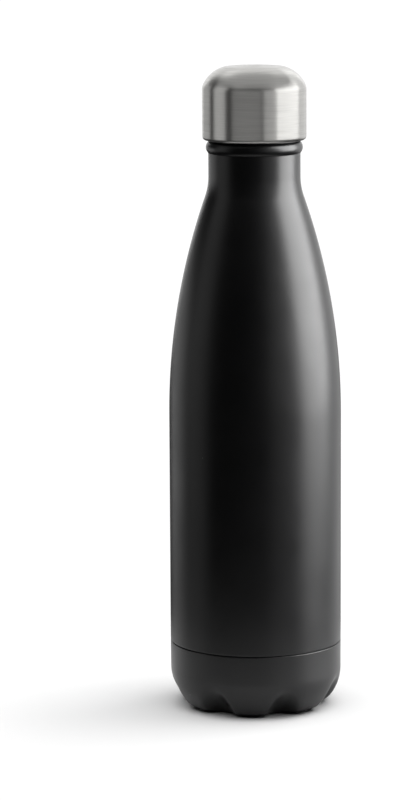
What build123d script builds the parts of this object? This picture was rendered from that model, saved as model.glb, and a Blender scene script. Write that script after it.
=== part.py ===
"""Double-walled, vacuum-insulated drinking bottle with a screw-in lid.

The vessel is two thin steel shells, one inside the other, joined only at the mouth. The space between
them is pumped out through a hole in the outer bottom, which a glass bead then seals. A cup with seven
lobes covers that bottom. The lid is a drawn steel cover over a moulded plastic core, whose hollow plug
screws down into the neck until a silicone gasket meets the lip of the mouth.

Millimetres, +Z up. The origin is on the axis, in the plane that the lobes stand on.
"""

from build123d import *

import os
from math import atan2, cos, degrees, sin, sqrt, tan

os.makedirs("parts", exist_ok=True)

# Overall sizes
height = 263.8  # floor to the top of the closed lid
body_radius = 35.25
neck_radius = 18.75
lid_overhang = 2.45  # lid's radius less the neck's
lid_height = 29.8

# Sheet steel, and the space between the walls
shell_wall = 0.5
liner_wall = 0.4
vacuum_gap = 2.4
bottom_gap = 4.0  # between the two bottoms, where the getter sits
weld_gap = 0.05  # between two pieces that are welded together

# Shoulder and neck, on the outside
shoulder_radius = 270.0
neck_fillet = 25.0
neck_length = 9.6  # straight neck between the shoulder and the bead
bead_half_height = 2.25
bead_rise = 0.95
bead_below_lid = 2.95  # the bead's middle below the lid's lower edge
lip_step = 0.35  # neck's radius less the lip's

# Mouth and thread
mouth_rise = 9.0  # lip above the lid's lower edge
flange_thickness = 0.8
thread_pitch = 4.0
thread_turns = 2.0
thread_below_mouth = 11.5
ridge_foot = 1.6
ridge_crest = 0.8
ridge_bite = 0.2  # how far a ridge's foot reaches into the wall that carries it
plug_clearance = 1.65  # neck's bore to the plug's wall
crest_clearance = 0.35  # a ridge's crest to the wall that it faces

# Base cup
seam_height = 26.8
seam_gap = 0.35
seam_rounding = 0.25
cup_wall = 0.6
cup_clearance = 0.1  # spigot to cup
spigot_end = 17.0
corner_height = 15.5
corner_radius = 21.0
foot_rounding = 8.0
foot_width = 3.6  # flat ring that the bottle stands on
hollow_slope = 3.0  # width of the slope from the flat ring to the hollow
hollow_depth = 3.0
lobe_count = 7
lobe_turn = -5.0  # from the front to the nearest lobe's middle, in degrees
valley_top = 12.5  # where a valley's floor line meets the side
valley_foot_radius = 23.5  # where it meets the ground
valley_radius = 8.5
valley_length = 60.0  # of the round cutter

# Bottoms
outer_plate_rise = 2.9  # outer bottom's upper face above the spigot's end
outer_corner = 1.5
inner_corner = 6.0
inner_skirt = 7.0
dimple_radius = 3.7
dimple_depth = 1.4
pump_hole_radius = 0.8
seal_clearance = 0.05
seal_thickness = 1.0

# Getter and the foil that reflects heat
getter_offset = 16.0
getter_radius = 4.0
getter_thickness = 1.6
pan_wall = 0.3
pan_clearance = 0.1
foil = 0.2
foil_clearance = 0.15
foil_end_gap = 3.0
foil_disc_radius = 23.0

# Lid cover
lid_wall = 0.5
hem_radius = 1.6
dome_edge_radius = 5.0
dome_radius = 13.1
dome_inset = 12.3  # dome arc's centre inside the lid's side
crown_radius = 300.0
crown_inset = 8.9  # crown's edge inside the lid's side

# Lid core
core_clearance = 0.1  # between the cover and the moulded core
skirt_wall = 1.4
skirt_rise = 2.1  # skirt's lower end above the lid's lower edge
skirt_height = 15.9
flange = 2.25
gasket_thickness = 1.95
gasket_gap = 0.05
gasket_clearance = 0.3  # plug to gasket
gasket_margin = 0.1  # gasket's rim inside the shell's lip
plug_depth = 21.0  # plug's end below the mouth
plug_wall = 2.0
plug_chamfer = 1.0
foam_clearance = 0.2
cover_thickness = 1.5
cover_clearance = 0.3
bond_width = 1.1

# Levels and radii worked out from the sizes above
lid_radius = neck_radius + lid_overhang
dome_centre_radius = lid_radius - dome_inset
lid_bottom = height - lid_height
bead_height = lid_bottom - bead_below_lid
mouth = lid_bottom + mouth_rise
neck_start = bead_height - bead_half_height - neck_length
shoulder_centre_radius = body_radius - shoulder_radius
neck_centre_radius = neck_radius + neck_fillet
shoulder_run = neck_centre_radius - shoulder_centre_radius
shoulder_rise = sqrt((shoulder_radius + neck_fillet) ** 2 - shoulder_run**2)
shoulder_turn = degrees(atan2(shoulder_rise, shoulder_run))
shoulder_start = neck_start - shoulder_rise
liner_outset = shell_wall + vacuum_gap  # outer shell's outside to the liner's outside
liner_inset = liner_outset + liner_wall
lip_radius = neck_radius - lip_step
lip_bore = lip_radius - shell_wall
bore_radius = neck_radius - liner_inset
liner_radius = body_radius - liner_inset
shell_bottom = seam_height + seam_gap
spigot_radius = body_radius - cup_wall - cup_clearance
spigot_bore = spigot_radius - shell_wall
outer_plate_top = spigot_end + outer_plate_rise
inner_plate_bottom = outer_plate_top + bottom_gap
liner_end = inner_plate_bottom + inner_skirt
plug_radius = bore_radius - plug_clearance
plug_bottom = mouth - plug_depth
ridge_depth = plug_clearance - crest_clearance
thread_start = mouth - thread_below_mouth
gasket_bottom = mouth + gasket_gap
flange_bottom = gasket_bottom + gasket_thickness + gasket_gap
flange_top = flange_bottom + flange
skirt_radius = lid_radius - lid_wall - core_clearance
skirt_bore = skirt_radius - skirt_wall
skirt_bottom = lid_bottom + skirt_rise
skirt_top = skirt_bottom + skirt_height
plug_bore = plug_radius - plug_wall
corner_centre = (body_radius - corner_radius, corner_height)
foot_centre_radius = corner_centre[0] + sqrt(
    (corner_radius - foot_rounding) ** 2 - (corner_height - foot_rounding) ** 2
)
foot_turn = degrees(atan2(corner_height - foot_rounding, foot_centre_radius - corner_centre[0]))
foot_inner_radius = foot_centre_radius - foot_width
crown_centre_height = height - crown_radius
crown_edge_radius = lid_radius - crown_inset
crown_edge_height = crown_centre_height + sqrt(crown_radius**2 - crown_edge_radius**2)
dome_run = crown_edge_radius - dome_centre_radius
dome_rise = sqrt(dome_radius**2 - dome_run**2)
dome_centre_height = crown_edge_height - dome_rise
dome_edge_centre_radius = lid_radius - dome_edge_radius
dome_edge_rise = sqrt(
    (dome_radius - dome_edge_radius) ** 2 - (dome_edge_centre_radius - dome_centre_radius) ** 2
)
dome_edge_height = dome_centre_height + dome_edge_rise


def vessel_line(inset, start, end):
    """Half outline of the vessel moved inwards by inset: body's side, shoulder, neck.

    Both shoulder arcs are tangent to the straight walls and to each other.
    """
    Line((body_radius - inset, start), (body_radius - inset, shoulder_start))
    CenterArc((shoulder_centre_radius, shoulder_start), shoulder_radius - inset, 0, shoulder_turn)
    CenterArc((neck_centre_radius, neck_start), neck_fillet + inset, 180 + shoulder_turn, -shoulder_turn)
    Line((neck_radius - inset, neck_start), (neck_radius - inset, end))


def cup_line(inset):
    """Half outline of the base cup moved inwards by inset: hollow, flat ring, foot, corner, side.

    The foot's rounding is tangent to the ground and to the corner's arc, and that to the side.
    """
    lean = inset * tan(atan2(hollow_depth, hollow_slope) / 2)
    Polyline(
        (0, hollow_depth + inset),
        (foot_inner_radius - hollow_slope + lean, hollow_depth + inset),
        (foot_inner_radius + lean, inset),
        (foot_centre_radius, inset),
    )
    CenterArc((foot_centre_radius, foot_rounding), foot_rounding - inset, -90, 90 - foot_turn)
    CenterArc(corner_centre, corner_radius - inset, -foot_turn, foot_turn)
    Polyline(
        (body_radius - inset, corner_height),
        (body_radius - inset, seam_height),
        (0, seam_height),
        (0, hollow_depth + inset),
    )


def lid_line():
    """Half outline of the lid's cover: rolled hem, straight side, edge and dome, each tangent, and crown.

    The nearly flat crown meets the dome in a shallow crease.
    """
    edge_turn = degrees(atan2(dome_edge_rise, dome_edge_centre_radius - dome_centre_radius))
    dome_turn = degrees(atan2(dome_rise, dome_run))
    crown_turn = degrees(atan2(crown_edge_radius, crown_edge_height - crown_centre_height))
    CenterArc((lid_radius - hem_radius, lid_bottom + hem_radius), hem_radius, -90, 90)
    Line((lid_radius, lid_bottom + hem_radius), (lid_radius, dome_edge_height))
    CenterArc((dome_edge_centre_radius, dome_edge_height), dome_edge_radius, 0, edge_turn)
    CenterArc((dome_centre_radius, dome_centre_height), dome_radius, edge_turn, dome_turn - edge_turn)
    CenterArc((0, crown_centre_height), crown_radius, 90 - crown_turn, crown_turn)


def ring_section(inner, outer, bottom, top):
    """A rectangle between two radii and two levels, in the half-section that is being drawn."""
    with Locations((inner, bottom)):
        Rectangle(outer - inner, top - bottom, align=(Align.MIN, Align.MIN))


def ridge(radius, start, outwards):
    """One thread ridge, wound up the wall at radius, pointing outwards (1) or inwards (-1)."""
    with BuildLine() as path:
        Helix(thread_pitch, thread_pitch * thread_turns, radius, center=(0, 0, start))
    with BuildSketch(Plane(origin=path.line @ 0, x_dir=(outwards, 0, 0), z_dir=path.line % 0)) as section:
        with BuildLine():
            Polyline(
                (-ridge_bite, -ridge_foot / 2),
                (ridge_depth, -ridge_crest / 2),
                (ridge_depth, ridge_crest / 2),
                (-ridge_bite, ridge_foot / 2),
                close=True,
            )
        make_face()
    sweep(sections=section.sketch, path=path.line, is_frenet=True)


def valleys(radius):
    """Round cutters along the valleys' floor lines, all on the same axes whatever their radius."""
    slope = atan2(valley_top, body_radius - valley_foot_radius)
    middle = Vector((body_radius + valley_foot_radius) / 2, 0, valley_top / 2)
    axis_point = middle + Vector(sin(slope), 0, -cos(slope)) * valley_radius
    first = lobe_turn - 90 + 180 / lobe_count
    for number in range(lobe_count):
        with Locations(Rotation(0, 0, first + number * 360 / lobe_count)):
            with Locations(Location(axis_point, (0, 90 - degrees(slope), 0))):
                Cylinder(radius, valley_length, mode=Mode.SUBTRACT)


# ---- Vessel ----

# Outer shell: body, shoulder, neck, rolled bead and lip in one sheet, stepped in below the seam.
with BuildPart() as outer_shell:
    with BuildSketch(Plane.XZ):
        with BuildLine():
            vessel_line(0, shell_bottom, bead_height - bead_half_height)
            ThreePointArc(
                (neck_radius, bead_height - bead_half_height),
                (neck_radius + bead_rise, bead_height),
                (neck_radius, bead_height + bead_half_height),
            )
            Polyline(
                (neck_radius, bead_height + bead_half_height),
                (lip_radius, bead_height + bead_half_height + lip_step),
                (lip_radius, mouth),
            )
            offset(amount=shell_wall, side=Side.LEFT)
        make_face()
        ring_section(spigot_bore, body_radius, shell_bottom, shell_bottom + shell_wall)
        ring_section(spigot_bore, spigot_radius, spigot_end, shell_bottom + shell_wall)
    revolve(axis=Axis.Z)
    seam_edge = outer_shell.edges().filter_by(GeomType.CIRCLE).filter_by_position(
        Axis.Z, shell_bottom - seam_rounding / 2, shell_bottom + seam_rounding / 2
    )
    fillet(seam_edge.sort_by(SortBy.RADIUS)[-1], radius=seam_rounding)
outer_shell.part.label = "outer_shell"

# Inner liner: the wet wall, from its weld with the bottom up to the mouth's flange, with the thread.
with BuildPart() as inner_liner:
    with BuildSketch(Plane.XZ):
        with BuildLine():
            vessel_line(liner_inset, liner_end, mouth)
            offset(amount=liner_wall, side=Side.RIGHT)
        make_face()
        ring_section(bore_radius, lip_bore - weld_gap, mouth - flange_thickness, mouth)
    revolve(axis=Axis.Z)
    ridge(bore_radius, thread_start, -1)
inner_liner.part.label = "inner_liner"

# Inner bottom: a pan whose rim is welded edge to edge with the liner.
with BuildPart() as inner_bottom:
    pan_radius = liner_radius + liner_wall
    with BuildSketch(Plane.XZ):
        with BuildLine():
            Line((0, inner_plate_bottom), (pan_radius - inner_corner, inner_plate_bottom))
            CenterArc(
                (pan_radius - inner_corner, inner_plate_bottom + inner_corner), inner_corner, -90, 90
            )
            Line((pan_radius, inner_plate_bottom + inner_corner), (pan_radius, liner_end - weld_gap))
            offset(amount=liner_wall, side=Side.LEFT)
        make_face()
    revolve(axis=Axis.Z)
inner_bottom.part.label = "inner_bottom"

# Outer bottom: a plate with its rim turned down inside the spigot, and a dimple for the sealing glass.
with BuildPart() as outer_bottom:
    rim_radius = spigot_bore - weld_gap
    with BuildSketch(Plane.XZ):
        with BuildLine():
            Line((rim_radius, spigot_end), (rim_radius, outer_plate_top - outer_corner))
            CenterArc(
                (rim_radius - outer_corner, outer_plate_top - outer_corner), outer_corner, 0, 90
            )
            Polyline(
                (rim_radius - outer_corner, outer_plate_top),
                (dimple_radius + shell_wall, outer_plate_top),
                (dimple_radius + shell_wall, outer_plate_top + dimple_depth),
                (pump_hole_radius, outer_plate_top + dimple_depth),
            )
            offset(amount=shell_wall, side=Side.LEFT, kind=Kind.INTERSECTION)
        make_face()
    revolve(axis=Axis.Z)
outer_bottom.part.label = "outer_bottom"

# Glass bead: fills the dimple's roof and the pump-out hole.
with BuildPart() as vacuum_seal:
    roof = outer_plate_top + dimple_depth - shell_wall - seal_clearance
    with BuildSketch(Plane.XZ):
        ring_section(0, dimple_radius - seal_clearance, roof - seal_thickness, roof)
        ring_section(0, pump_hole_radius - seal_clearance, roof, roof + shell_wall)
    revolve(axis=Axis.Z)
vacuum_seal.part.label = "vacuum_seal"

# Getter pan: welded to the outer bottom, off the axis beside the dimple.
with BuildPart() as getter_pan:
    pan_bottom = outer_plate_top + weld_gap
    pan_bore = getter_radius + pan_clearance
    with BuildSketch(Plane.XY.offset(pan_bottom)):
        with Locations((getter_offset, 0)):
            Circle(pan_bore + pan_wall)
    extrude(amount=pan_wall + getter_thickness)
    with BuildSketch(Plane.XY.offset(pan_bottom + pan_wall)):
        with Locations((getter_offset, 0)):
            Circle(pan_bore)
    extrude(amount=getter_thickness, mode=Mode.SUBTRACT)
getter_pan.part.label = "getter_pan"

# Getter: a pressed pill that lies in the pan.
with BuildPart() as getter:
    with BuildSketch(Plane.XY.offset(pan_bottom + pan_wall + weld_gap)):
        with Locations((getter_offset, 0)):
            Circle(getter_radius)
    extrude(amount=getter_thickness)
getter.part.label = "getter"

# Copper wrap: reflecting foil round the liner's straight wall.
with BuildPart() as copper_wrap:
    foil_radius = body_radius - liner_outset + foil_clearance
    with BuildSketch(Plane.XZ):
        ring_section(
            foil_radius, foil_radius + foil, liner_end + foil_end_gap, shoulder_start - foil_end_gap
        )
    revolve(axis=Axis.Z)
copper_wrap.part.label = "copper_wrap"

# Copper disc: the same foil under the inner bottom.
with BuildPart() as copper_disc:
    with BuildSketch(Plane.XY.offset(inner_plate_bottom - foil_clearance - foil)):
        Circle(foil_disc_radius)
    extrude(amount=foil)
copper_disc.part.label = "copper_disc"

# ---- Base ----

# The cup's inside, which follows the valleys one wall thickness away.
with BuildPart() as cup_hollow:
    with BuildSketch(Plane.XZ):
        with BuildLine():
            cup_line(cup_wall)
        make_face()
    revolve(axis=Axis.Z)
    valleys(valley_radius + cup_wall)

# Base cup: slid up over the spigot, with valleys between the lobes that it stands on.
with BuildPart() as base_cup:
    with BuildSketch(Plane.XZ):
        with BuildLine():
            cup_line(0)
        make_face()
    revolve(axis=Axis.Z)
    valleys(valley_radius)
    add(cup_hollow.part, mode=Mode.SUBTRACT)
    fillet(base_cup.edges().group_by(Axis.Z)[-1].sort_by(SortBy.RADIUS)[-1], radius=seam_rounding)
base_cup.part.label = "base_cup"

# Bead of adhesive in the corner between the spigot's end and the cup's wall.
with BuildPart() as base_bond_ring:
    bond_top = spigot_end - weld_gap
    with BuildSketch(Plane.XZ):
        ring_section(spigot_radius - bond_width, spigot_radius, bond_top - bond_width, bond_top)
    revolve(axis=Axis.Z)
    valleys(valley_radius + cup_wall + cup_clearance)
base_bond_ring.part.label = "base_bond_ring"

# ---- Lid ----

# Gasket: a flat silicone ring round the plug, between the core's flange and the lip.
with BuildPart() as lid_gasket:
    with BuildSketch(Plane.XZ):
        ring_section(
            plug_radius + gasket_clearance,
            lip_bore - gasket_margin,
            gasket_bottom,
            gasket_bottom + gasket_thickness,
        )
    revolve(axis=Axis.Z)
lid_gasket.part.label = "lid_gasket"

# Cover: one drawn steel cup, its edge rolled in at the bottom.
with BuildPart() as lid_shell:
    with BuildSketch(Plane.XZ):
        with BuildLine():
            lid_line()
            offset(amount=lid_wall, side=Side.LEFT)
        make_face()
    revolve(axis=Axis.Z)
lid_shell.part.label = "lid_shell"

# Core: hollow plug with the thread, a flange over the gasket and a skirt that fills the cover.
with BuildPart() as lid_core:
    with BuildSketch(Plane.XZ):
        ring_section(0, plug_radius, plug_bottom, plug_bottom + plug_wall)
        ring_section(plug_bore, plug_radius, plug_bottom, flange_top)
        ring_section(plug_bore, skirt_radius, flange_bottom, flange_top)
        ring_section(skirt_bore, skirt_radius, skirt_bottom, skirt_top)
    revolve(axis=Axis.Z)
    chamfer(lid_core.edges().group_by(Axis.Z)[0], length=plug_chamfer)
    ridge(plug_radius, thread_start - thread_pitch / 2, 1)
lid_core.part.label = "lid_core"

# Foam: fills the plug.
with BuildPart() as lid_foam:
    with BuildSketch(Plane.XY.offset(plug_bottom + plug_wall + foam_clearance)):
        Circle(plug_bore - foam_clearance)
    extrude(amount=flange_top - plug_bottom - plug_wall - 2 * foam_clearance)
lid_foam.part.label = "lid_foam"

# Core cover: closes the plug over the foam.
with BuildPart() as core_cover:
    with BuildSketch(Plane.XY.offset(flange_top + weld_gap)):
        Circle(skirt_bore - cover_clearance)
    extrude(amount=cover_thickness)
core_cover.part.label = "core_cover"

# Bead of adhesive on the skirt's top, against the cover's wall.
with BuildPart() as lid_bond_ring:
    with BuildSketch(Plane.XZ):
        ring_section(skirt_radius - bond_width, skirt_radius, skirt_top + weld_gap, skirt_top + bond_width)
    revolve(axis=Axis.Z)
lid_bond_ring.part.label = "lid_bond_ring"

vessel = (outer_shell, inner_liner, inner_bottom, outer_bottom, vacuum_seal, getter_pan, getter)
trim = (copper_wrap, copper_disc, base_cup, base_bond_ring)
lid = (lid_gasket, lid_shell, lid_core, lid_foam, core_cover, lid_bond_ring)
for piece in vessel + trim + lid:
    export_step(piece.part, f"parts/{piece.part.label}.step")
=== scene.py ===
"""Looks of a double-walled steel drinking bottle with a domed screw lid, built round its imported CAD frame."""

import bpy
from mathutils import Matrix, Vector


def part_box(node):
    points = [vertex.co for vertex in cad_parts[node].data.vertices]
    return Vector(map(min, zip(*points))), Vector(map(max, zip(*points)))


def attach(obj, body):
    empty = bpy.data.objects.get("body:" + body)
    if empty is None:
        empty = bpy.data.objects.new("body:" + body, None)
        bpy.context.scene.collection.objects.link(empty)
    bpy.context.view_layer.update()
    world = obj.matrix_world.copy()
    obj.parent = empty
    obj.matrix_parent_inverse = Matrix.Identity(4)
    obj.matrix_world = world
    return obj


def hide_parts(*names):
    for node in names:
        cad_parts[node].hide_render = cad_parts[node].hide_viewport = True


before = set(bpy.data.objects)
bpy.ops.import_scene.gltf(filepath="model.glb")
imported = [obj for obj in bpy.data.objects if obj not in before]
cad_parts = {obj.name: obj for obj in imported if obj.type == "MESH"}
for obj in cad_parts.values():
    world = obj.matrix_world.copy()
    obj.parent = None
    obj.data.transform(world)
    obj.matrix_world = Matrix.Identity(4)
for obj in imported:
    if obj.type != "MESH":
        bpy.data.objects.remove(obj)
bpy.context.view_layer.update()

import bpy
import numpy as np
from bpy.props import FloatProperty, IntProperty, PointerProperty, StringProperty
from mathutils import Matrix, Vector

bl_info = {
    "name": "Steel vacuum bottle",
    "version": (1, 0, 0),
    "blender": (4, 5, 0),
    "location": "View3D > Sidebar > Bottle",
    "description": "Builds a powder-coated vacuum bottle with a brushed steel lid",
    "category": "Object",
}

MM = 0.001
REPEATED = 1e-7  # points nearer than this, in metres, are one point
ON_WALL = 0.01 * MM  # points nearer than this to a wall carry its thread


# ---- Sizes and colours ----


def length(name, description, default):
    """A length in metres, shown with its unit."""
    return FloatProperty(name=name, description=description, default=default, unit="LENGTH", precision=5)


def hex_colour(name, description, default):
    """An sRGB colour as six hex digits."""
    return StringProperty(name=name, description=description, default=default, maxlen=7)


class BottleSizes(bpy.types.PropertyGroup):
    """Half-section sizes of the vessel and the lid. What the frame's boxes give is read from them."""

    segments: IntProperty(name="Segments", description="Columns round each turned piece", default=256, min=64)
    point_step: length("Point step", "Distance between points on a straight run", 2.0 * MM)
    shell_wall: length("Shell wall", "Outer sheet's thickness", 0.5 * MM)
    liner_wall: length("Liner wall", "Inner sheet's thickness", 0.4 * MM)
    wall_to_wall: length("Wall to wall", "Vessel's outside to the drink", 3.3 * MM)
    shoulder_radius: length("Shoulder", "Radius of the long shoulder arc", 270.0 * MM)
    neck_radius: length("Neck", "Outside radius of the straight neck", 18.75 * MM)
    neck_fillet: length("Neck fillet", "Radius of the hollow between shoulder and neck", 25.0 * MM)
    neck_length: length("Neck length", "Straight neck under the bead", 9.6 * MM)
    bead_below_lid: length("Bead drop", "Bead's middle below the lid's lower edge", 2.95 * MM)
    bead_half_height: length("Bead half height", "Half of the bead's height", 2.25 * MM)
    bead_rise: length("Bead rise", "How far the bead stands out of the neck", 0.95 * MM)
    bead_root: length("Bead root", "Radius where the bead leaves the neck", 0.6 * MM)
    lip_step: length("Lip step", "Neck's radius less the lip's", 0.35 * MM)
    lip_rounding: length("Lip rounding", "Radius on the mouth's edges", 0.22 * MM)
    seam_gap: length("Seam gap", "Open line between the cup and the shell", 0.35 * MM)
    seam_rounding: length("Seam rounding", "Radius on both edges of the seam", 0.25 * MM)
    thread_pitch: length("Thread pitch", "Rise of the thread in one turn", 4.0 * MM)
    thread_turns: FloatProperty(name="Thread turns", description="Turns of each ridge", default=2.0)
    thread_below_mouth: length("Thread start", "Neck's thread start below the mouth", 11.5 * MM)
    thread_depth: length("Thread depth", "Height of each ridge", 1.3 * MM)
    ridge_half_width: length("Ridge half width", "Half of a ridge's foot", 0.85 * MM)
    cup_wall: length("Cup wall", "Base cup's thickness", 0.6 * MM)
    corner_height: length("Corner height", "Where the cup's side begins to turn in", 15.5 * MM)
    corner_radius: length("Corner radius", "Cup's corner arc", 21.0 * MM)
    foot_rounding: length("Foot rounding", "Arc between the corner and the ground", 8.0 * MM)
    foot_width: length("Foot width", "Flat ring that the bottle stands on", 3.6 * MM)
    hollow_slope: length("Hollow slope", "Slope between the flat ring and the hollow", 3.0 * MM)
    hollow_depth: length("Hollow depth", "Hollow's height above the ground", 3.0 * MM)
    lobes: IntProperty(name="Lobes", description="Lobes round the base", default=7)
    lobe_turn: FloatProperty(name="Lobe turn", description="Front to a lobe, in degrees", default=-5.0)
    valley_top: length("Valley top", "Where a valley's floor meets the cup's side", 12.5 * MM)
    valley_foot: length("Valley foot", "Radius where a valley's floor meets the ground", 23.5 * MM)
    valley_radius: length("Valley radius", "Radius across a valley", 8.5 * MM)
    valley_blend: length("Valley blend", "How softly a valley runs into its lobes", 1.3 * MM)
    lid_wall: length("Lid wall", "Lid cover's thickness", 0.5 * MM)
    hem_radius: length("Hem", "Radius of the lid's rolled lower edge", 1.6 * MM)
    dome_edge: length("Dome edge", "Radius between the lid's side and its dome", 5.0 * MM)
    dome_radius: length("Dome", "Radius of the dome's arc", 13.1 * MM)
    dome_centre: length("Dome centre", "Distance of the dome arc's centre from the axis", 8.9 * MM)
    crown_radius: length("Crown", "Radius of the lid's crown", 300.0 * MM)
    crown_edge: length("Crown edge", "Distance from the axis to where the crown meets the dome", 12.3 * MM)
    plug_wall: length("Plug wall", "Thickness of the stopper's wall", 2.0 * MM)
    skirt_wall: length("Skirt wall", "Thickness of the core's skirt", 1.4 * MM)
    skirt_rise: length("Skirt rise", "Skirt's lower end above the lid's lower edge", 2.1 * MM)
    foam_clearance: length("Foam clearance", "Space between the foam and the plug's bore", 0.2 * MM)
    gasket_clearance: length("Gasket clearance", "Space between the plug and the gasket", 0.3 * MM)
    flange_clearance: length("Flange clearance", "Space between the liner's flange and the lip", 0.05 * MM)
    threaded_depth: length("Threaded wall", "Finely divided wall, down from the mouth", 14.0 * MM)
    fold_depth: length("Fold", "Wet side's fold into the flange, below the mouth", 1.2 * MM)
    fold_end: length("Fold end", "Dry side's fold into the flange, below the mouth", 2.2 * MM)
    thread_top: length("Thread top", "Upper limit of the thread, below the mouth", 2.1 * MM)
    rim_fade: length("Rim fade", "Height under the cup's rim in which a valley dies out", 6.0 * MM)
    middle_fade: length("Middle fade", "Radius in which a valley dies out under the cup", 12.0 * MM)
    flange: length("Flange", "Thickness of the core's flange", 2.25 * MM)
    gasket_gap: length("Gasket gap", "Space between the gasket and its seats", 0.05 * MM)
    gasket_rounding: length("Gasket rounding", "Radius on the gasket's corners", 0.55 * MM)
    pan_corner: length("Pan corner", "Radius at the inner bottom's corner", 6.0 * MM)
    foot_edge: length("Foot edge", "Radius inside the flat ring", 2.0 * MM)
    hollow_edge: length("Hollow edge", "Radius where the slope meets the hollow", 2.5 * MM)
    lip_depth: length("Lip depth", "Straight lip under the mouth's rounded edges", 1.5 * MM)
    thread_step: length("Thread step", "Distance between points where a thread runs", 0.12 * MM)


class BottleColours(bpy.types.PropertyGroup):
    """Base colours of the finishes, as sRGB hex."""

    powder: hex_colour("Powder coat", "Black polyester powder coat", "#040405")
    lid_steel: hex_colour("Lid steel", "Stainless steel, brushed on a lathe", "#cfcecb")
    bare_steel: hex_colour("Bare steel", "Stainless steel, drawn and electropolished", "#c4c3c0")
    silicone: hex_colour("Silicone", "Translucent food-grade silicone", "#c9c9c5")
    plastic: hex_colour("Core plastic", "Black moulded polypropylene", "#151516")
    foam: hex_colour("Foam", "Expanded polystyrene", "#e6e5e0")
    copper: hex_colour("Copper", "Bright copper foil", "#d98b66")
    glass: hex_colour("Solder glass", "Fused sealing glass", "#3f4a44")
    getter: hex_colour("Getter", "Pressed zirconium powder", "#4b4b4e")
    epoxy: hex_colour("Epoxy", "Cured adhesive", "#26241f")
    table: hex_colour("Table", "Matt white table top", "#f2f2f2")


def level(node, corner):
    """Height of a CAD node's lower (0) or upper (1) corner."""
    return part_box(node)[corner][2]


def reach(node):
    """Outer radius of a CAD node that is turned about the axis."""
    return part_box(node)[1][0]


# ---- Outlines: runs of (radius, height) points ----


def arc(centre, radius, start, end, step=4.0):
    """Points centre + radius (cos t, sin t) for t from start to end degrees, about step degrees apart."""
    turns = np.radians(np.linspace(start, end, int(abs(end - start) / step) + 2))
    return np.column_stack((centre[0] + radius * np.cos(turns), centre[1] + radius * np.sin(turns)))


def straight(start, end, step):
    """Points start + s (end - start) for even s from 0 to 1, about step apart."""
    start, end = np.array(start, float), np.array(end, float)
    count = int(np.linalg.norm(end - start) / step) + 2
    return start + np.linspace(0, 1, count)[:, None] * (end - start)


def joined(*runs):
    """The runs end to end, without points that repeat."""
    points = np.concatenate([np.atleast_2d(np.array(run, float)) for run in runs])
    apart = np.linalg.norm(np.diff(points, axis=0), axis=1) > REPEATED
    return points[np.concatenate(([True], apart))]


def rounded(points, radii, steps=7):
    """An open polyline with its inner corners rounded.

    A corner B between the unit directions u and v gets the arc of radius r whose centre lies on the
    bisector, r / sin(half angle) from B, and which touches both sides r / tan(half angle) from B.
    """
    points = np.array(points, float)
    radii = np.broadcast_to(np.array(radii, float), (len(points) - 2,))[:, None]
    corner = points[1:-1]
    back, ahead = points[:-2] - corner, points[2:] - corner
    back /= np.linalg.norm(back, axis=1)[:, None]
    ahead /= np.linalg.norm(ahead, axis=1)[:, None]
    half = np.arccos(np.clip((back * ahead).sum(axis=1), -1, 1))[:, None] / 2
    bisector = (back + ahead) / np.linalg.norm(back + ahead, axis=1)[:, None]
    centre = corner + bisector * radii / np.sin(half)
    first = corner + back * radii / np.tan(half) - centre
    last = corner + ahead * radii / np.tan(half) - centre
    begin = np.arctan2(first[:, 1], first[:, 0])
    sweep = (np.arctan2(last[:, 1], last[:, 0]) - begin + np.pi) % (2 * np.pi) - np.pi
    turns = begin[:, None] + sweep[:, None] * np.linspace(0, 1, steps)
    arcs = centre[:, None, :] + radii[:, :, None] * np.stack((np.cos(turns), np.sin(turns)), axis=2)
    return joined(points[0], arcs.reshape(-1, 2), points[-1])


def dense(points, step):
    """The same outline with even points added on each of its runs, no more than step apart."""
    points = np.array(points, float)
    runs = np.diff(points, axis=0)
    parts = (np.linalg.norm(runs, axis=1) / step).astype(int) + 1
    share = (np.arange(parts.sum()) - np.repeat(np.cumsum(parts) - parts, parts)) / np.repeat(parts, parts)
    added = np.repeat(points[:-1], parts, axis=0) + share[:, None] * np.repeat(runs, parts, axis=0)
    return joined(added, points[-1])


def arc_length(points):
    """Distance along an outline to each of its points."""
    return np.concatenate(([0.0], np.cumsum(np.linalg.norm(np.diff(points, axis=0), axis=1))))


# ---- Meshes ----


def side_faces(rows, around, along, ring):
    """Quads between neighbouring rows of a grid, and their UVs: distance round against distance along."""
    segments = len(around) - 1
    lower = np.arange(rows if ring else rows - 1)
    upper, column = (lower + 1) % rows, np.arange(segments)
    beside = (column + 1) % segments
    low, high = lower[:, None] * segments, upper[:, None] * segments
    corners = (low + column, low + beside, high + beside, high + column)
    first = 0 if ring else 1
    below, above = along[lower + first], along[lower + first + 1]
    u = np.column_stack((around[:-1], around[1:], around[1:], around[:-1]))[None]
    v = np.column_stack((below, below, above, above))[:, None]
    uv = np.stack(np.broadcast_arrays(u, v), axis=3)
    return np.stack(corners, axis=2).reshape(-1, 4), uv.reshape(-1, 2)


def pole_fans(rows, around, along):
    """Triangles that close both ends at the two poles, which follow the grid's points, and their UVs."""
    segments = len(around) - 1
    column = np.arange(segments)
    beside, last, pole = (column + 1) % segments, (rows - 1) * segments, np.full(segments, rows * segments)
    start = np.column_stack((beside, column, pole))
    end = np.column_stack((last + column, last + beside, pole + 1))
    middle = (around[:-1] + around[1:]) / 2
    tip, near, far, end_tip = (np.full(segments, along[i]) for i in (0, 1, rows, rows + 1))
    start_map = np.column_stack((around[1:], near, around[:-1], near, middle, tip))
    end_map = np.column_stack((around[:-1], far, around[1:], far, middle, end_tip))
    return np.vstack((start, end)), np.vstack((start_map, end_map)).reshape(-1, 2)


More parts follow.
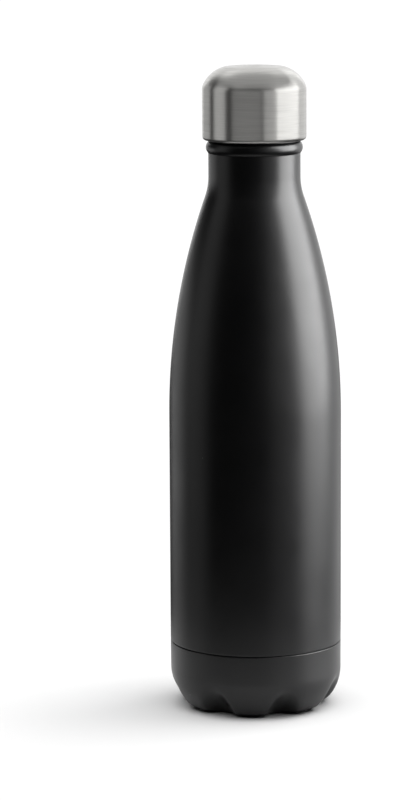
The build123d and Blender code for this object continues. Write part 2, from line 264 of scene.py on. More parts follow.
def face_outwards(mesh, grid, quads):
    """Turns the faces round if the volume that they enclose, by the divergence theorem, is negative."""
    a, b, c, d = (grid[quads[:, i]] for i in range(4))
    if (a * np.cross(b, c)).sum() + (a * np.cross(c, d)).sum() < 0:
        mesh.flip_normals()


def turned(name, outline, segments, ring=False, push=None):
    """A closed surface of revolution: (r, z) carried round the axis as (r sin t, -r cos t, z).

    The outline either starts and ends on the axis, where each end becomes one pole, or with ring its
    last point joins its first. push(r, z, t), if given, returns the grid's moved r and z.
    """
    outline = np.array(outline, float)
    if ring and np.linalg.norm(outline[0] - outline[-1]) < REPEATED:
        outline = outline[:-1]
    inner = outline if ring else outline[1:-1]
    turns = np.pi + np.arange(segments) * 2 * np.pi / segments
    radius = np.repeat(inner[:, :1], segments, axis=1)
    height = np.repeat(inner[:, 1:], segments, axis=1)
    if push is not None:
        radius, height = push(radius, height, np.broadcast_to(turns, radius.shape))
    grid = np.stack((radius * np.sin(turns), -radius * np.cos(turns), height), axis=2).reshape(-1, 3)
    along = arc_length(np.vstack((outline, outline[:1])))
    around = np.linspace(0, 2 * np.pi, segments + 1) * inner[:, 0].max()
    quads, uv = side_faces(len(inner), around, along, ring)
    loops, sizes = quads.ravel(), np.full(len(quads), 4)
    if not ring:
        fans, fan_map = pole_fans(len(inner), around, along)
        grid = np.vstack((grid, [[0, 0, outline[0, 1]], [0, 0, outline[-1, 1]]]))
        loops, uv = np.concatenate((loops, fans.ravel())), np.vstack((uv, fan_map))
        sizes = np.concatenate((sizes, np.full(len(fans), 3)))
    mesh = bpy.data.meshes.new(name)
    mesh.vertices.add(len(grid))
    mesh.vertices.foreach_set("co", grid.ravel())
    mesh.loops.add(len(loops))
    mesh.polygons.add(len(sizes))
    mesh.loops.foreach_set("vertex_index", loops)
    mesh.polygons.foreach_set("loop_start", np.concatenate(([0], np.cumsum(sizes)[:-1])))
    mesh.update(calc_edges=True)
    layer = mesh.uv_layers.new(name="Turned")
    layer.data.foreach_set("uv", uv.ravel())
    face_outwards(mesh, grid, quads)
    mesh.shade_smooth()
    piece = bpy.data.objects.new(name, mesh)
    bpy.context.scene.collection.objects.link(piece)
    return piece


def finish_piece(piece, body, slot, material, *nodes):
    """The piece rides on its body, stands for its CAD nodes and wears its finish."""
    piece.data.materials.append(material)
    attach(piece, body)
    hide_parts(*nodes)


# ---- Materials ----


def linear(colour):
    """An sRGB hex colour as linear RGBA."""
    value = np.array([int(colour[i : i + 2], 16) for i in (1, 3, 5)]) / 255
    value = np.where(value <= 0.04045, value / 12.92, ((value + 0.055) / 1.055) ** 2.4)
    return (*value.tolist(), 1.0)


def add(tree, kind, links=None, values=None, **settings):
    """Adds a node with its settings, its sockets' values and the links that come into it."""
    node = tree.nodes.new(kind)
    for key, value in settings.items():
        setattr(node, key, value)
    for socket, value in (values or {}).items():
        node.inputs[socket].default_value = value
    for socket, source in (links or {}).items():
        tree.links.new(source, node.inputs[socket])
    return node


def new_material(name, slot_colour, **values):
    """An empty material with a Principled shader: (tree, shader, material)."""
    material = bpy.data.materials.new(name)
    material.use_nodes = True
    material.diffuse_color = slot_colour
    tree = material.node_tree
    shader = tree.nodes["Principled BSDF"]
    shader.inputs["Base Color"].default_value = slot_colour
    for socket, value in values.items():
        shader.inputs[socket.replace("_", " ")].default_value = value
    return tree, shader, material


def powder_coat(colours):
    """Polyester powder coat on steel, baked matt black.

    The powder melts into a skin with a fine orange peel, about 0.8 mm from crest to crest, which
    spreads each reflection into a soft band. Handling leaves slightly smoother patches, some 20 mm
    across, and a few grains of dust, 0.3 mm across.
    """
    peel_scale, patch_scale, dust_cell = 1 / (0.8 * MM), 1 / (20 * MM), 9 * MM
    black = linear(colours.powder)
    tree, shader, material = new_material("powder_coat_black", black, Roughness=0.36, IOR=1.5,
                                          Specular_IOR_Level=0.4)
    place = add(tree, "ShaderNodeTexCoord").outputs["Object"]
    patches = add(tree, "ShaderNodeTexNoise", {"Vector": place}, {"Scale": patch_scale, "Detail": 3.0})
    rough = add(tree, "ShaderNodeMapRange", {"Value": patches.outputs[0]},
                {"From Min": 0.3, "From Max": 0.7, "To Min": 0.33, "To Max": 0.39})
    tree.links.new(rough.outputs[0], shader.inputs["Roughness"])
    peel = add(tree, "ShaderNodeTexNoise", {"Vector": place}, {"Scale": peel_scale, "Detail": 2.0})
    bump = add(tree, "ShaderNodeBump", {"Height": peel.outputs[0]}, {"Strength": 0.25, "Distance": 0.02 * MM})
    tree.links.new(bump.outputs[0], shader.inputs["Normal"])
    grain = add(tree, "ShaderNodeTexVoronoi", {"Vector": place}, {"Scale": 1 / dust_cell})
    speck = add(tree, "ShaderNodeMapRange", {"Value": grain.outputs["Distance"]},
                {"From Min": 0.018, "From Max": 0.034, "To Min": 1.0, "To Max": 0.0})
    chosen = add(tree, "ShaderNodeMath", {0: grain.outputs["Color"]}, {1: 0.80}, operation="GREATER_THAN")
    dust = add(tree, "ShaderNodeMath", {0: speck.outputs[0], 1: chosen.outputs[0]}, operation="MULTIPLY")
    faint = add(tree, "ShaderNodeMath", {0: dust.outputs[0]}, {1: 0.35}, operation="MULTIPLY")
    colour = add(tree, "ShaderNodeMix", {0: faint.outputs[0]}, {6: black, 7: linear("#9a9a98")},
                 data_type="RGBA")
    tree.links.new(colour.outputs[2], shader.inputs["Base Color"])
    return material


def turned_steel(name, colour, roughness, anisotropy, groove, contrast, depth):
    """Stainless steel finished against a spinning belt or pad.

    The grooves run round the axis, so a reflection spreads along it and each lamp shows as a band
    from top to bottom. groove is the spacing in metres of the grooves, drawn wider than the real
    0.05 mm so that they show; they fade in and out over some 15 mm round the piece.
    """
    base = linear(colour)
    tree, shader, material = new_material(name, base, Metallic=1.0, Roughness=roughness,
                                          Anisotropic=anisotropy, Anisotropic_Rotation=0.25)
    tangent = add(tree, "ShaderNodeTangent", direction_type="RADIAL", axis="Z")
    tree.links.new(tangent.outputs[0], shader.inputs["Tangent"])
    place = add(tree, "ShaderNodeTexCoord")
    along = add(tree, "ShaderNodeSeparateXYZ", {0: place.outputs["UV"]}).outputs["Y"]
    round_piece = add(tree, "ShaderNodeSeparateXYZ", {0: place.outputs["Object"]})
    across = add(tree, "ShaderNodeMath", {0: along}, {1: 1 / groove}, operation="MULTIPLY")
    fades = [add(tree, "ShaderNodeMath", {0: round_piece.outputs[axis]}, {1: 1 / (15 * MM)},
                 operation="MULTIPLY").outputs[0] for axis in ("X", "Y")]
    spot = add(tree, "ShaderNodeCombineXYZ", {"X": fades[0], "Y": fades[1], "Z": across.outputs[0]})
    grooves = add(tree, "ShaderNodeTexNoise", {"Vector": spot.outputs[0]}, {"Scale": 1.0, "Detail": 4.0})
    tone = add(tree, "ShaderNodeMapRange", {"Value": grooves.outputs[0]},
               {"From Min": 0.25, "From Max": 0.75, "To Min": 1 - contrast, "To Max": 1.0})
    shade = add(tree, "ShaderNodeVectorMath", {"Scale": tone.outputs[0]}, {0: base[:3]}, operation="SCALE")
    tree.links.new(shade.outputs[0], shader.inputs["Base Color"])
    rough = add(tree, "ShaderNodeMapRange", {"Value": grooves.outputs[0]},
                {"From Min": 0.25, "From Max": 0.75, "To Min": roughness * 1.15, "To Max": roughness * 0.85})
    tree.links.new(rough.outputs[0], shader.inputs["Roughness"])
    bump = add(tree, "ShaderNodeBump", {"Height": grooves.outputs[0]}, {"Strength": 0.3, "Distance": depth})
    tree.links.new(bump.outputs[0], shader.inputs["Normal"])
    return material


def grained(name, colour, roughness, grain, mottle, depth, **values):
    """A moulded, cast or pressed stuff with an even grain.

    The grain's size in metres sets both a faint mottling of the colour and the surface's fine relief.
    """
    base = linear(colour)
    tree, shader, material = new_material(name, base, Roughness=roughness, **values)
    place = add(tree, "ShaderNodeTexCoord").outputs["Object"]
    noise = add(tree, "ShaderNodeTexNoise", {"Vector": place}, {"Scale": 1 / grain, "Detail": 3.0})
    tone = add(tree, "ShaderNodeMapRange", {"Value": noise.outputs[0]},
               {"From Min": 0.3, "From Max": 0.7, "To Min": 1 - mottle, "To Max": 1.0})
    shade = add(tree, "ShaderNodeVectorMath", {"Scale": tone.outputs[0]}, {0: base[:3]}, operation="SCALE")
    tree.links.new(shade.outputs[0], shader.inputs["Base Color"])
    bump = add(tree, "ShaderNodeBump", {"Height": noise.outputs[0]}, {"Strength": 0.3, "Distance": depth})
    tree.links.new(bump.outputs[0], shader.inputs["Normal"])
    return material


# ---- Shapes ----


def neck_levels(sizes):
    """The heights of shoulder start, neck start, bead and mouth, and how far the two arcs turn."""
    bead = level("lid_shell", 0) - sizes.bead_below_lid
    neck_start = bead - sizes.bead_half_height - sizes.neck_length
    run = sizes.neck_radius + sizes.neck_fillet - (reach("outer_shell") - sizes.shoulder_radius)
    rise = np.sqrt((sizes.shoulder_radius + sizes.neck_fillet) ** 2 - run**2)
    return neck_start - rise, neck_start, bead, level("outer_shell", 1), np.degrees(np.arctan2(rise, run))


def vessel_run(sizes, inset, start, end):
    """The vessel's outline moved inwards by inset, from one height up to another on the straight neck.

    Side, shoulder arc and neck arc are tangent; an inset shortens the first radius and lengthens the second.
    """
    shoulder, neck, _, _, turn = neck_levels(sizes)
    side, throat = reach("outer_shell") - inset, sizes.neck_radius - inset
    return joined(
        straight((side, start), (side, shoulder), sizes.point_step),
        arc((side + inset - sizes.shoulder_radius, shoulder), sizes.shoulder_radius - inset, 0, turn, 0.4),
        arc((sizes.neck_radius + sizes.neck_fillet, neck), sizes.neck_fillet + inset, 180 + turn, 180, 1.0),
        straight((throat, neck), (throat, end), sizes.point_step),
    )


def bead_run(sizes):
    """The rolled bead: one arc over its crest, with a hollow at each root tangent to it and to the wall."""
    _, _, bead, _, _ = neck_levels(sizes)
    crest = (sizes.bead_half_height**2 + sizes.bead_rise**2) / (2 * sizes.bead_rise)
    centre = sizes.neck_radius + sizes.bead_rise - crest
    lip = sizes.neck_radius - sizes.lip_step
    span = crest + sizes.bead_root
    lower_rise = np.sqrt(span**2 - (sizes.neck_radius + sizes.bead_root - centre) ** 2)
    upper_rise = np.sqrt(span**2 - (lip + sizes.bead_root - centre) ** 2)
    lower = np.degrees(np.arcsin(lower_rise / span))
    upper = np.degrees(np.arcsin(upper_rise / span))
    return joined(
        arc((sizes.neck_radius + sizes.bead_root, bead - lower_rise), sizes.bead_root, 180, 180 - lower, 6.0),
        arc((centre, bead), crest, -lower, upper, 3.0),
        arc((lip + sizes.bead_root, bead + upper_rise), sizes.bead_root, 180 + upper, 180, 6.0),
    )


def shell_outline(sizes):
    """The outer sheet as a closed loop: spigot, seam step, body, neck, bead, lip, and back down inside."""
    _, _, bead, mouth, _ = neck_levels(sizes)
    side, lip = reach("outer_shell"), sizes.neck_radius - sizes.lip_step
    seam = level("base_cup", 1) + sizes.seam_gap
    bottom = level("outer_shell", 0)
    spigot = reach("base_bond_ring")
    step = rounded([(spigot, bottom), (spigot, seam), (side, seam), (side, seam + 3 * sizes.seam_rounding)],
                   [sizes.seam_rounding / 2, sizes.seam_rounding])
    bead_start = bead - sizes.bead_half_height
    outside = vessel_run(sizes, 0, seam + 3 * sizes.seam_rounding, bead_start - sizes.bead_root)
    edge = rounded([(lip, mouth - sizes.lip_depth), (lip, mouth), (lip - sizes.shell_wall, mouth),
                    (lip - sizes.shell_wall, mouth - sizes.lip_depth)], sizes.lip_rounding)
    inside = vessel_run(sizes, sizes.shell_wall, seam + sizes.shell_wall, bead_start)[::-1]
    spigot_bore = spigot - sizes.shell_wall
    foot = [(spigot_bore, seam + sizes.shell_wall), (spigot_bore, bottom), (spigot, bottom)]
    return joined(dense(step, sizes.point_step), outside, bead_run(sizes), edge, inside, foot)


def ridge_shape(height, turn, start, sizes):
    """Height of a thread ridge, from 0 to 1, at each point of a wall.

    The ridge's middle climbs one pitch a turn from start. Across it the shape is a rounded trapezium,
    a smooth step up and down, and it fades in and out over a sixth of a turn at its ends.
    """
    winding = (turn % (2 * np.pi)) / (2 * np.pi)
    rise = np.zeros_like(height)
    for lap in range(int(sizes.thread_turns) + 1):
        travelled = winding + lap - 0.25
        offset = np.abs(height - start - sizes.thread_pitch * travelled) / sizes.ridge_half_width
        across = np.clip((1.1 - offset) / 0.75, 0, 1)
        ends = np.clip(travelled * 6, 0, 1) * np.clip((sizes.thread_turns - travelled) * 6, 0, 1)
        rise = np.maximum(rise, across**2 * (3 - 2 * across) * ends**2 * (3 - 2 * ends))
    return rise


def liner_outline(sizes):
    """The inner sheet as a closed loop: up the wet side, over the flange and back down the dry side."""
    _, _, _, mouth, _ = neck_levels(sizes)
    bottom = level("inner_liner", 0)
    flange_edge = sizes.neck_radius - sizes.lip_step - sizes.shell_wall - sizes.flange_clearance
    inset, wall = sizes.wall_to_wall, sizes.liner_wall
    throat = sizes.neck_radius - inset
    plain_top = mouth - sizes.threaded_depth
    fold, fold_end = mouth - sizes.fold_depth, mouth - sizes.fold_end
    wet = vessel_run(sizes, inset, bottom, plain_top)
    dry = vessel_run(sizes, inset - wall, bottom, plain_top)[::-1]
    threaded = straight((throat, plain_top), (throat, fold), sizes.thread_step)
    threaded_dry = straight((throat + wall, fold_end), (throat + wall, plain_top), sizes.thread_step)
    flange = rounded([(throat, fold), (throat, mouth), (flange_edge, mouth),
                      (flange_edge, mouth - 2 * wall), (throat + wall, mouth - 2 * wall),
                      (throat + wall, fold_end)], [1.0 * MM, 0.15 * MM, 0.15 * MM, 0.3 * MM])
    return joined(wet, threaded, flange, threaded_dry, dry)


def cup_outline(sizes, inset):
    """Base cup's outline moved inwards by inset, from the rim down the side and under to the axis."""
    side, top = reach("base_cup") - inset, level("base_cup", 1)
    corner = (reach("base_cup") - sizes.corner_radius, sizes.corner_height)
    drop = sizes.corner_height - sizes.foot_rounding
    foot = corner[0] + np.sqrt((sizes.corner_radius - sizes.foot_rounding) ** 2 - drop**2)
    turn = np.degrees(np.arctan2(drop, foot - corner[0]))
    ring = foot - sizes.foot_width
    under = rounded([(foot, inset), (ring, inset), (ring - sizes.hollow_slope, sizes.hollow_depth + inset),
                     (0, sizes.hollow_depth + inset)], [sizes.foot_edge, sizes.hollow_edge], 9)
    return joined(
        straight((side, top - 2 * sizes.seam_rounding), (side, sizes.corner_height), 0.6 * MM),
        arc(corner, sizes.corner_radius - inset, 0, -turn, 1.5),
        arc((foot, sizes.foot_rounding), sizes.foot_rounding - inset, -turn, -90, 3.0),
        dense(under, 0.7 * MM),
    )


def valley_push(sizes, inset):
    """How the cup's wall gives way to the valleys: a function for turned().

    Each valley is the far side of a round cutter whose axis leans out along the valley's floor line.
    A point at q from that axis moves inwards along the wall's normal m by t = sqrt(r^2 - side^2) - q.m,
    and the soft step (t + sqrt(t^2 + k^2)) / 2 rounds the edges where t passes zero.
    """
    side = reach("base_cup")
    slope = np.arctan2(sizes.valley_top, side - sizes.valley_foot)
    cutter = sizes.valley_radius + inset
    middle = np.array([(side + sizes.valley_foot) / 2, sizes.valley_top / 2])
    axis_point = middle + np.array([np.sin(slope), -np.cos(slope)]) * sizes.valley_radius
    normal = np.array([-np.sin(slope), np.cos(slope)])
    pitch = 2 * np.pi / sizes.lobes
    first = np.radians(sizes.lobe_turn) + pitch / 2

    def push(radius, height, turn):
        angle = (turn - first + pitch / 2) % pitch - pitch / 2
        outward, aside = radius * np.cos(angle), radius * np.sin(angle)
        depth = (outward - axis_point[0]) * normal[0] + (height - axis_point[1]) * normal[1]
        cut = np.sqrt(np.clip(cutter**2 - aside**2, 0, None)) - depth
        soft = (cut + np.sqrt(cut**2 + sizes.valley_blend**2)) / 2
        fade = np.clip((level("base_cup", 1) - height) / sizes.rim_fade, 0, 1)
        soft = soft * fade * fade * (3 - 2 * fade) * np.clip(radius / sizes.middle_fade, 0, 1)
        return radius + soft * normal[0] * np.cos(angle), height + soft * normal[1]

    return push


def crossing(first, first_radius, second, second_radius):
    """Where two circles cross on the side away from the axis, as the turn in degrees about each centre.

    Along the line between the centres, d apart, the crossing lies (d^2 + R^2 - r^2) / 2d from the second.
    """
    first, second = np.array(first, float), np.array(second, float)
    apart = np.linalg.norm(first - second)
    towards = (first - second) / apart
    along = (apart**2 + second_radius**2 - first_radius**2) / (2 * apart)
    aside = np.sqrt(second_radius**2 - along**2)
    point = second + along * towards + aside * np.array([towards[1], -towards[0]])
    return tuple(np.degrees(np.arctan2(*(point - centre)[::-1])) for centre in (first, second))


def lid_run(sizes, inset):
    """The lid cover's outline moved inwards by inset: hem, side, dome edge and dome, all tangent, and crown.

    The nearly flat crown meets the dome in a shallow crease. Both arcs keep their centres when they are
    moved inwards, so the crease moves to where the two smaller circles cross.
    """
    side, base, top = reach("lid_shell"), level("lid_shell", 0), level("lid_shell", 1)
    crown = top - sizes.crown_radius
    crease = crown + np.sqrt(sizes.crown_radius**2 - sizes.crown_edge**2)
    dome = crease - np.sqrt(sizes.dome_radius**2 - (sizes.crown_edge - sizes.dome_centre) ** 2)
    edge_radius = side - sizes.dome_edge
    rise = np.sqrt((sizes.dome_radius - sizes.dome_edge) ** 2 - (edge_radius - sizes.dome_centre) ** 2)
    edge_turn = np.degrees(np.arctan2(rise, edge_radius - sizes.dome_centre))
    dome_turn, crown_turn = crossing((sizes.dome_centre, dome), sizes.dome_radius - inset,
                                     (0, crown), sizes.crown_radius - inset)
    return joined(
        arc((side - sizes.hem_radius, base + sizes.hem_radius), sizes.hem_radius - inset, -90, 0, 6.0),
        straight((side - inset, base + sizes.hem_radius), (side - inset, dome + rise), 1.0 * MM),
        arc((edge_radius, dome + rise), sizes.dome_edge - inset, 0, edge_turn, 2.0),
        arc((sizes.dome_centre, dome), sizes.dome_radius - inset, edge_turn, dome_turn, 2.0),
        arc((0, crown), sizes.crown_radius - inset, crown_turn, 90, 0.5),
    )


def plug_radius(sizes):
    """Outer radius of the stopper's plug: the foam, its clearance and the plug's wall."""
    return reach("lid_foam") + sizes.foam_clearance + sizes.plug_wall


def core_outline(sizes):
    """The moulded core as one loop from the axis: plug, flange, skirt, and back down inside the plug."""
    plug = plug_radius(sizes)
    bore = plug - sizes.plug_wall
    skirt, bottom, top = reach("lid_bond_ring"), level("lid_core", 0), level("lid_core", 1)
    skirt_bore = skirt - sizes.skirt_wall
    under = level("lid_gasket", 1) + sizes.gasket_gap
    over = under + sizes.flange
    skirt_bottom = level("lid_shell", 0) + sizes.skirt_rise
    corners = [(0, bottom), (plug, bottom), (plug, under), (skirt_bore, under), (skirt_bore, skirt_bottom),
               (skirt, skirt_bottom), (skirt, top), (skirt_bore, top), (skirt_bore, over), (bore, over),
               (bore, bottom + sizes.plug_wall), (0, bottom + sizes.plug_wall)]
    radii = np.array([1.2, 0.3, 0.4, 0.3, 0.3, 0.3, 0.3, 0.4, 0.3, 0.8]) * MM
    return dense(rounded(corners, radii), 0.15 * MM)


def gasket_outline(sizes):
    """The silicone ring: a rectangle with full soft corners."""
    low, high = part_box("lid_gasket")
    bore = plug_radius(sizes) + sizes.gasket_clearance
    corners = [(bore, (low[2] + high[2]) / 2), (bore, low[2]), (high[0], low[2]), (high[0], high[2]),
               (bore, high[2]), (bore, (low[2] + high[2]) / 2)]
    return rounded(corners, sizes.gasket_rounding, 9)


def pan_outline(sizes):
    """The inner bottom: a pressed pan with a wide corner."""
    side, wall = reach("inner_bottom"), sizes.liner_wall
    bottom, top = level("inner_bottom", 0), level("inner_bottom", 1)
    outside = rounded([(0, bottom), (side, bottom), (side, top)], sizes.pan_corner, 15)
    inside = rounded([(side - wall, top), (side - wall, bottom + wall), (0, bottom + wall)],
                     sizes.pan_corner - wall, 15)
    return dense(joined(outside, inside), sizes.point_step)


# ---- Operators ----


class BOTTLE_OT_shell(bpy.types.Operator):
    """Turns the outer shell with its bead and lip, and powder-coats it"""

    bl_idname = "bottle.shell"
    bl_label = "Outer shell"

    def execute(self, context):
        sizes, colours = context.scene.bottle_sizes, context.scene.bottle_colours
        piece = turned("shell_skin", shell_outline(sizes), sizes.segments, ring=True)
        finish_piece(piece, "bottle", "black_coat", powder_coat(colours), "outer_shell")
        return {"FINISHED"}


class BOTTLE_OT_cup(bpy.types.Operator):
    """Forms the base cup with its lobes and valleys"""

    bl_idname = "bottle.cup"
    bl_label = "Base cup"

    def execute(self, context):
        sizes, colours = context.scene.bottle_sizes, context.scene.bottle_colours
        top = level("base_cup", 1)
        outside, inside = cup_outline(sizes, 0), cup_outline(sizes, sizes.cup_wall)
        side = reach("base_cup")
        rim = rounded([(side - sizes.cup_wall, top - 2 * sizes.seam_rounding), (side - sizes.cup_wall, top),
                       (side, top), (side, top - 2 * sizes.seam_rounding)], sizes.seam_rounding)
        outline = joined(inside[::-1], rim, outside)
        outer = len(outline) - len(outside)
        give, give_inside = valley_push(sizes, 0), valley_push(sizes, sizes.cup_wall)

        def push(radius, height, turn):
            outer_rows = np.arange(len(radius))[:, None] >= outer - 1
            out_r, out_z = give(radius, height, turn)
            in_r, in_z = give_inside(radius, height, turn)
            return np.where(outer_rows, out_r, in_r), np.where(outer_rows, out_z, in_z)

        piece = turned("cup_skin", outline, 2 * sizes.segments, push=push)
        finish_piece(piece, "bottle", "black_coat", bpy.data.materials["powder_coat_black"], "base_cup")
        return {"FINISHED"}


class BOTTLE_OT_liner(bpy.types.Operator):
    """Turns the steel liner with its rolled thread, and the pan that closes it"""

    bl_idname = "bottle.liner"
    bl_label = "Liner"

    def execute(self, context):
        sizes, colours = context.scene.bottle_sizes, context.scene.bottle_colours
        start = level("outer_shell", 1) - sizes.thread_below_mouth
        throat = sizes.neck_radius - sizes.wall_to_wall + sizes.liner_wall

        def roll(radius, height, turn):
            on_wall = (radius < throat + ON_WALL) & (height < level("outer_shell", 1) - sizes.thread_top)
            return radius - on_wall * sizes.thread_depth * ridge_shape(height, turn, start, sizes), height

        steel = turned_steel("electropolished_steel", colours.bare_steel, 0.24, 0.35, 0.6 * MM, 0.12,
                             0.004 * MM)
        liner = turned("liner_skin", liner_outline(sizes), sizes.segments, ring=True, push=roll)
        finish_piece(liner, "bottle", "bare_steel", steel, "inner_liner")
        pan = turned("pan_skin", pan_outline(sizes), sizes.segments)
        finish_piece(pan, "bottle", "bare_steel", steel, "inner_bottom")
        return {"FINISHED"}


class BOTTLE_OT_lid(bpy.types.Operator):
    """Draws the steel lid cover and brushes it round its axis"""

    bl_idname = "bottle.lid"
    bl_label = "Lid cover"

    def execute(self, context):
        sizes, colours = context.scene.bottle_sizes, context.scene.bottle_colours
        outside, inside = lid_run(sizes, 0), lid_run(sizes, sizes.lid_wall)
        outline = joined(inside[::-1], outside)
        steel = turned_steel("brushed_lid_steel", colours.lid_steel, 0.32, 0.75, 0.35 * MM, 0.16, 0.006 * MM)
        piece = turned("lid_skin", outline, sizes.segments)
        finish_piece(piece, "lid", "lid_steel", steel, "lid_shell")
        return {"FINISHED"}


class BOTTLE_OT_stopper(bpy.types.Operator):
    """Moulds the lid's core with its thread, and the gasket round it"""

    bl_idname = "bottle.stopper"
    bl_label = "Stopper"

    def execute(self, context):
        sizes, colours = context.scene.bottle_sizes, context.scene.bottle_colours
        start = level("outer_shell", 1) - sizes.thread_below_mouth - sizes.thread_pitch / 2
        plug = plug_radius(sizes)

        def wind(radius, height, turn):
            on_wall = np.abs(radius - plug) < ON_WALL
            return radius + on_wall * sizes.thread_depth * ridge_shape(height, turn, start, sizes), height

        plastic = grained("moulded_polypropylene", colours.plastic, 0.38, 0.4 * MM, 0.2, 0.01 * MM, IOR=1.49)
        core = turned("core_skin", core_outline(sizes), sizes.segments, push=wind)
        finish_piece(core, "lid", "black_plastic", plastic, "lid_core")
        silicone = grained("moulded_silicone", colours.silicone, 0.45, 0.5 * MM, 0.06, 0.008 * MM, IOR=1.41,
                           Subsurface_Weight=0.3)
        gasket = turned("gasket_skin", gasket_outline(sizes), sizes.segments, ring=True)
        finish_piece(gasket, "seal", "silicone", silicone, "lid_gasket")
        return {"FINISHED"}


class BOTTLE_OT_hidden(bpy.types.Operator):
    """Finishes the pieces that the walls and the lid close in"""

    bl_idname = "bottle.hidden"
    bl_label = "Sealed pieces"

    def execute(self, context):
        colours = context.scene.bottle_colours
        steel = bpy.data.materials["electropolished_steel"]
        copper = grained("copper_foil", colours.copper, 0.25, 3 * MM, 0.15, 0.05 * MM, Metallic=1.0)
        glass = grained("solder_glass", colours.glass, 0.08, 1 * MM, 0.3, 0.004 * MM, IOR=1.6)
        powder = grained("pressed_getter_powder", colours.getter, 0.8, 0.15 * MM, 0.5, 0.03 * MM)
        epoxy = grained("cured_epoxy", colours.epoxy, 0.2, 2 * MM, 0.2, 0.02 * MM, IOR=1.55)
        foam = grained("expanded_foam", colours.foam, 0.85, 1.2 * MM, 0.15, 0.1 * MM)
        plastic = bpy.data.materials["moulded_polypropylene"]
        finishes = {
            steel: ("outer_bottom", "getter_pan"),
            copper: ("copper_wrap", "copper_disc"),
            glass: ("vacuum_seal",),
            powder: ("getter",),
            epoxy: ("base_bond_ring", "lid_bond_ring"),
            foam: ("lid_foam",),
            plastic: ("core_cover",),
        }
        for material, nodes in finishes.items():
            for node in nodes:
                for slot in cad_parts[node].material_slots:
                    slot.link = "OBJECT"
                    slot.material = material
        return {"FINISHED"}


class BOTTLE_OT_stage(bpy.types.Operator):
    """Lays the pale table, hangs the soft lamps and sets the camera"""

    bl_idname = "bottle.stage"
    bl_label = "Stage"

    def execute(self, context):
        scene = context.scene
        light_studio(scene, lay_table(linear(scene.bottle_colours.table)), bpy.data.objects["lid_skin"])
        set_camera(scene)
        return {"FINISHED"}


# ---- Stage ----


def lay_table(colour):
    """A matt white table top, level with the lobes' feet, that fades into the white room round it.

    Its cover falls smoothly from 1 to 0 between two distances from the bottle.
    """
    half, near, far = 600 * MM, 90 * MM, 190 * MM
    mesh = bpy.data.meshes.new("table_top")
    corners = [(-half, -half, 0), (half, -half, 0), (half, half, 0), (-half, half, 0)]
    mesh.from_pydata(corners, [], [(0, 1, 2, 3)])
    table = bpy.data.objects.new("table_top", mesh)
    bpy.context.scene.collection.objects.link(table)
    tree, shader, material = new_material("white_laminate", colour, Roughness=0.9, Specular_IOR_Level=0.0)
    place = add(tree, "ShaderNodeTexCoord").outputs["Object"]
    away = add(tree, "ShaderNodeVectorMath", {0: place}, operation="LENGTH")
    cover = add(tree, "ShaderNodeMapRange", {"Value": away.outputs["Value"]},
                {"From Min": near, "From Max": far, "To Min": 1.0, "To Max": 0.0},
                interpolation_type="SMOOTHSTEP")
    tree.links.new(cover.outputs[0], shader.inputs["Alpha"])
    mesh.materials.append(material)
    return table


def soft_lamp(name, azimuth, elevation, distance, width, height, radiance):
    """A rectangular softbox that faces the bottle's middle, at an azimuth from the front towards the right.

    A rectangle that shines evenly from one side needs a power of pi x area x radiance.
    """
    middle = Vector((0, 0, 140 * MM))
    a, e = np.radians(azimuth), np.radians(elevation)
    away = Vector((np.sin(a) * np.cos(e), -np.cos(a) * np.cos(e), np.sin(e)))
    data = bpy.data.lights.new(name, "AREA")
    data.shape = "RECTANGLE"
    data.size, data.size_y = width, height
    data.energy = np.pi * width * height * radiance
    lamp = bpy.data.objects.new(name, data)
    lamp.location = middle + away * distance
    lamp.rotation_euler = away.to_track_quat("Z", "Y").to_euler()
    lamp.visible_camera = False
    bpy.context.scene.collection.objects.link(lamp)
    return lamp


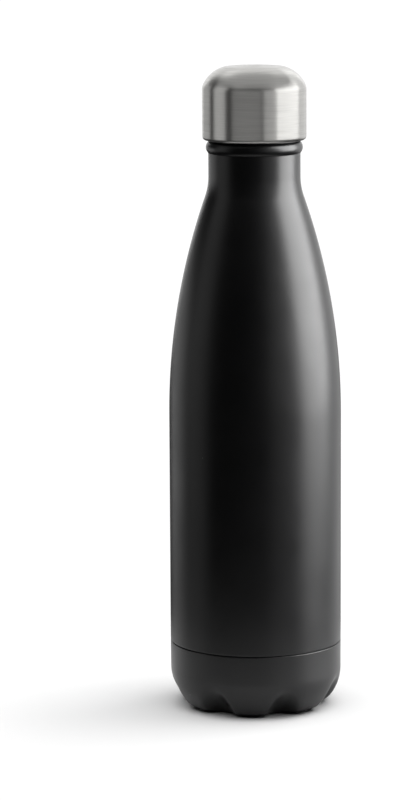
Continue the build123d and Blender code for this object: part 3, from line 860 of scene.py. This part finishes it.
def light_studio(scene, table, lid):
    """Soft lamps in three sets in a dark room: for the black vessel, for the bright lid, for the white table.

    Black coat gives back about a twentieth of what steel does, so the vessel's lamps are the stronger.
    """
    vessel_lamps = [
        soft_lamp("key_softbox", 88, 23, 0.80, 0.80, 1.05, 12.0),
        soft_lamp("front_card", 36, 5, 1.30, 0.70, 0.90, 0.60),
        soft_lamp("front_fill", -20, 0, 1.30, 1.50, 0.70, 0.03),
        soft_lamp("left_card", -84, 12, 0.80, 0.48, 0.90, 0.60),
        soft_lamp("back_left_card", -128, -6, 1.30, 0.90, 0.50, 0.9),
        soft_lamp("back_right_wall", 138, 5, 1.30, 1.00, 1.20, 1.1),
        soft_lamp("back_wall", 184, 30, 1.30, 1.40, 1.90, 1.4),
        soft_lamp("ceiling", 0, 88, 1.10, 2.00, 2.00, 0.35),
    ]
    lid_lamps = [
        soft_lamp("lid_key", 83, 16, 0.80, 1.00, 0.65, 2.0),
        soft_lamp("lid_front_card", 38, 5, 1.30, 0.85, 0.90, 0.65),
        soft_lamp("lid_front_fill", -18, 4, 1.30, 1.70, 0.90, 0.32),
        soft_lamp("lid_left_card", -84, 12, 0.80, 0.48, 0.90, 0.60),
        soft_lamp("lid_back_left", -132, 5, 1.30, 0.80, 0.90, 0.50),
        soft_lamp("lid_back_right", 138, 15, 1.30, 1.00, 1.40, 0.9),
        soft_lamp("lid_back_wall", 184, 30, 1.30, 1.40, 1.90, 1.0),
        soft_lamp("lid_ceiling", 0, 88, 1.10, 2.00, 2.00, 0.45),
    ]
    table_lamps = [
        soft_lamp("table_key", 110, 50, 1.10, 0.90, 0.90, 2.5),
        soft_lamp("table_ceiling", 0, 89, 1.20, 2.40, 2.40, 2.1),
    ]
    for name, lamps, state, receivers in (
        ("all_but_table_and_lid", vessel_lamps, "EXCLUDE", (table, lid)),
        ("only_lid", lid_lamps, "INCLUDE", (lid,)),
        ("only_table", table_lamps, "INCLUDE", (table,)),
    ):
        group = bpy.data.collections.new(name)
        for receiver in receivers:
            group.objects.link(receiver)
        for member in group.collection_objects:
            member.light_linking.link_state = state
        for lamp in lamps:
            lamp.light_linking.receiver_collection = group
    world = bpy.data.worlds.new("white_room")
    scene.world = world
    world.use_nodes = True
    tree = world.node_tree
    tree.nodes.clear()
    # the room shows white behind the table, and lights the bottle like a dark one
    path = add(tree, "ShaderNodeLightPath")
    strength = add(tree, "ShaderNodeMapRange", {"Value": path.outputs["Is Camera Ray"]},
                   {"To Min": 0.02, "To Max": 1.05})
    background = add(tree, "ShaderNodeBackground", {"Strength": strength.outputs[0]}, {"Color": (1, 1, 1, 1)})
    add(tree, "ShaderNodeOutputWorld", {"Surface": background.outputs[0]})
    scene.view_settings.view_transform = "Standard"


def set_camera(scene):
    """A long lens above the lid, 1.45 m in front and a little to the left, tipped down."""
    data = bpy.data.cameras.new("studio_camera")
    data.sensor_width, data.lens = 36.0, 160.75
    camera = bpy.data.objects.new("studio_camera", data)
    upright = np.pi / 2
    pitch, roll = 0.1630, -0.0049
    aim = Matrix.Rotation(upright - pitch, 4, "X") @ Matrix.Rotation(roll, 4, "Z")
    camera.matrix_world = Matrix.Translation((-18.9 * MM, -1447 * MM, 365 * MM)) @ aim
    scene.collection.objects.link(camera)
    scene.camera = camera


class BOTTLE_PT_panel(bpy.types.Panel):
    """Lists the bottle's pieces and sizes"""

    bl_label = "Bottle"
    bl_idname = "BOTTLE_PT_panel"
    bl_space_type = "VIEW_3D"
    bl_region_type = "UI"
    bl_category = "Bottle"

    def draw(self, context):
        for maker in MAKERS:
            self.layout.operator(maker.bl_idname)
        for group in (context.scene.bottle_sizes, context.scene.bottle_colours):
            column = self.layout.column()
            for name in group.bl_rna.properties.keys()[2:]:
                column.prop(group, name)


MAKERS = (BOTTLE_OT_shell, BOTTLE_OT_cup, BOTTLE_OT_liner, BOTTLE_OT_lid, BOTTLE_OT_stopper, BOTTLE_OT_hidden,
          BOTTLE_OT_stage)
CLASSES = (BottleSizes, BottleColours, *MAKERS, BOTTLE_PT_panel)


def register():
    for item in CLASSES:
        bpy.utils.register_class(item)
    bpy.types.Scene.bottle_sizes = PointerProperty(type=BottleSizes)
    bpy.types.Scene.bottle_colours = PointerProperty(type=BottleColours)


def unregister():
    del bpy.types.Scene.bottle_colours
    del bpy.types.Scene.bottle_sizes
    for item in reversed(CLASSES):
        bpy.utils.unregister_class(item)


def main():
    """Builds every piece and the stage."""
    register()
    bpy.ops.bottle.shell()
    bpy.ops.bottle.cup()
    bpy.ops.bottle.liner()
    bpy.ops.bottle.lid()
    bpy.ops.bottle.stopper()
    bpy.ops.bottle.hidden()
    bpy.ops.bottle.stage()


if __name__ == "__main__":
    main()
